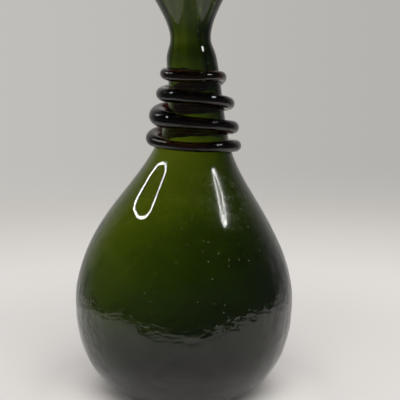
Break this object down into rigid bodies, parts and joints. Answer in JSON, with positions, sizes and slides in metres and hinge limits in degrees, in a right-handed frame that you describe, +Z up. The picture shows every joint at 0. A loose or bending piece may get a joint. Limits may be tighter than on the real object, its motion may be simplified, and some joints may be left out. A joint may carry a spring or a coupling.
{
  "type": "glass flask",
  "caption": "Free-blown dark green glass flask with a pear-shaped body, a funnel mouth and a dark glass trail wound round its bowed neck.",
  "frame": {"origin": "middle of the foot, on the surface that the flask stands on", "axes": "+Z up through the body to the mouth; +X to the viewer's right, the way the neck bows; -Y towards the viewer"},
  "size_m": [0.131, 0.131, 0.2501],
  "materials": {
    "green_glass": "clear, glossy, dark olive green",
    "dark_glass": "glossy, near-black amethyst"
  },
  "bodies": {
    "root": {"flask": "green_glass", "neck_trail": "dark_glass"}
  },
  "joints": []
}
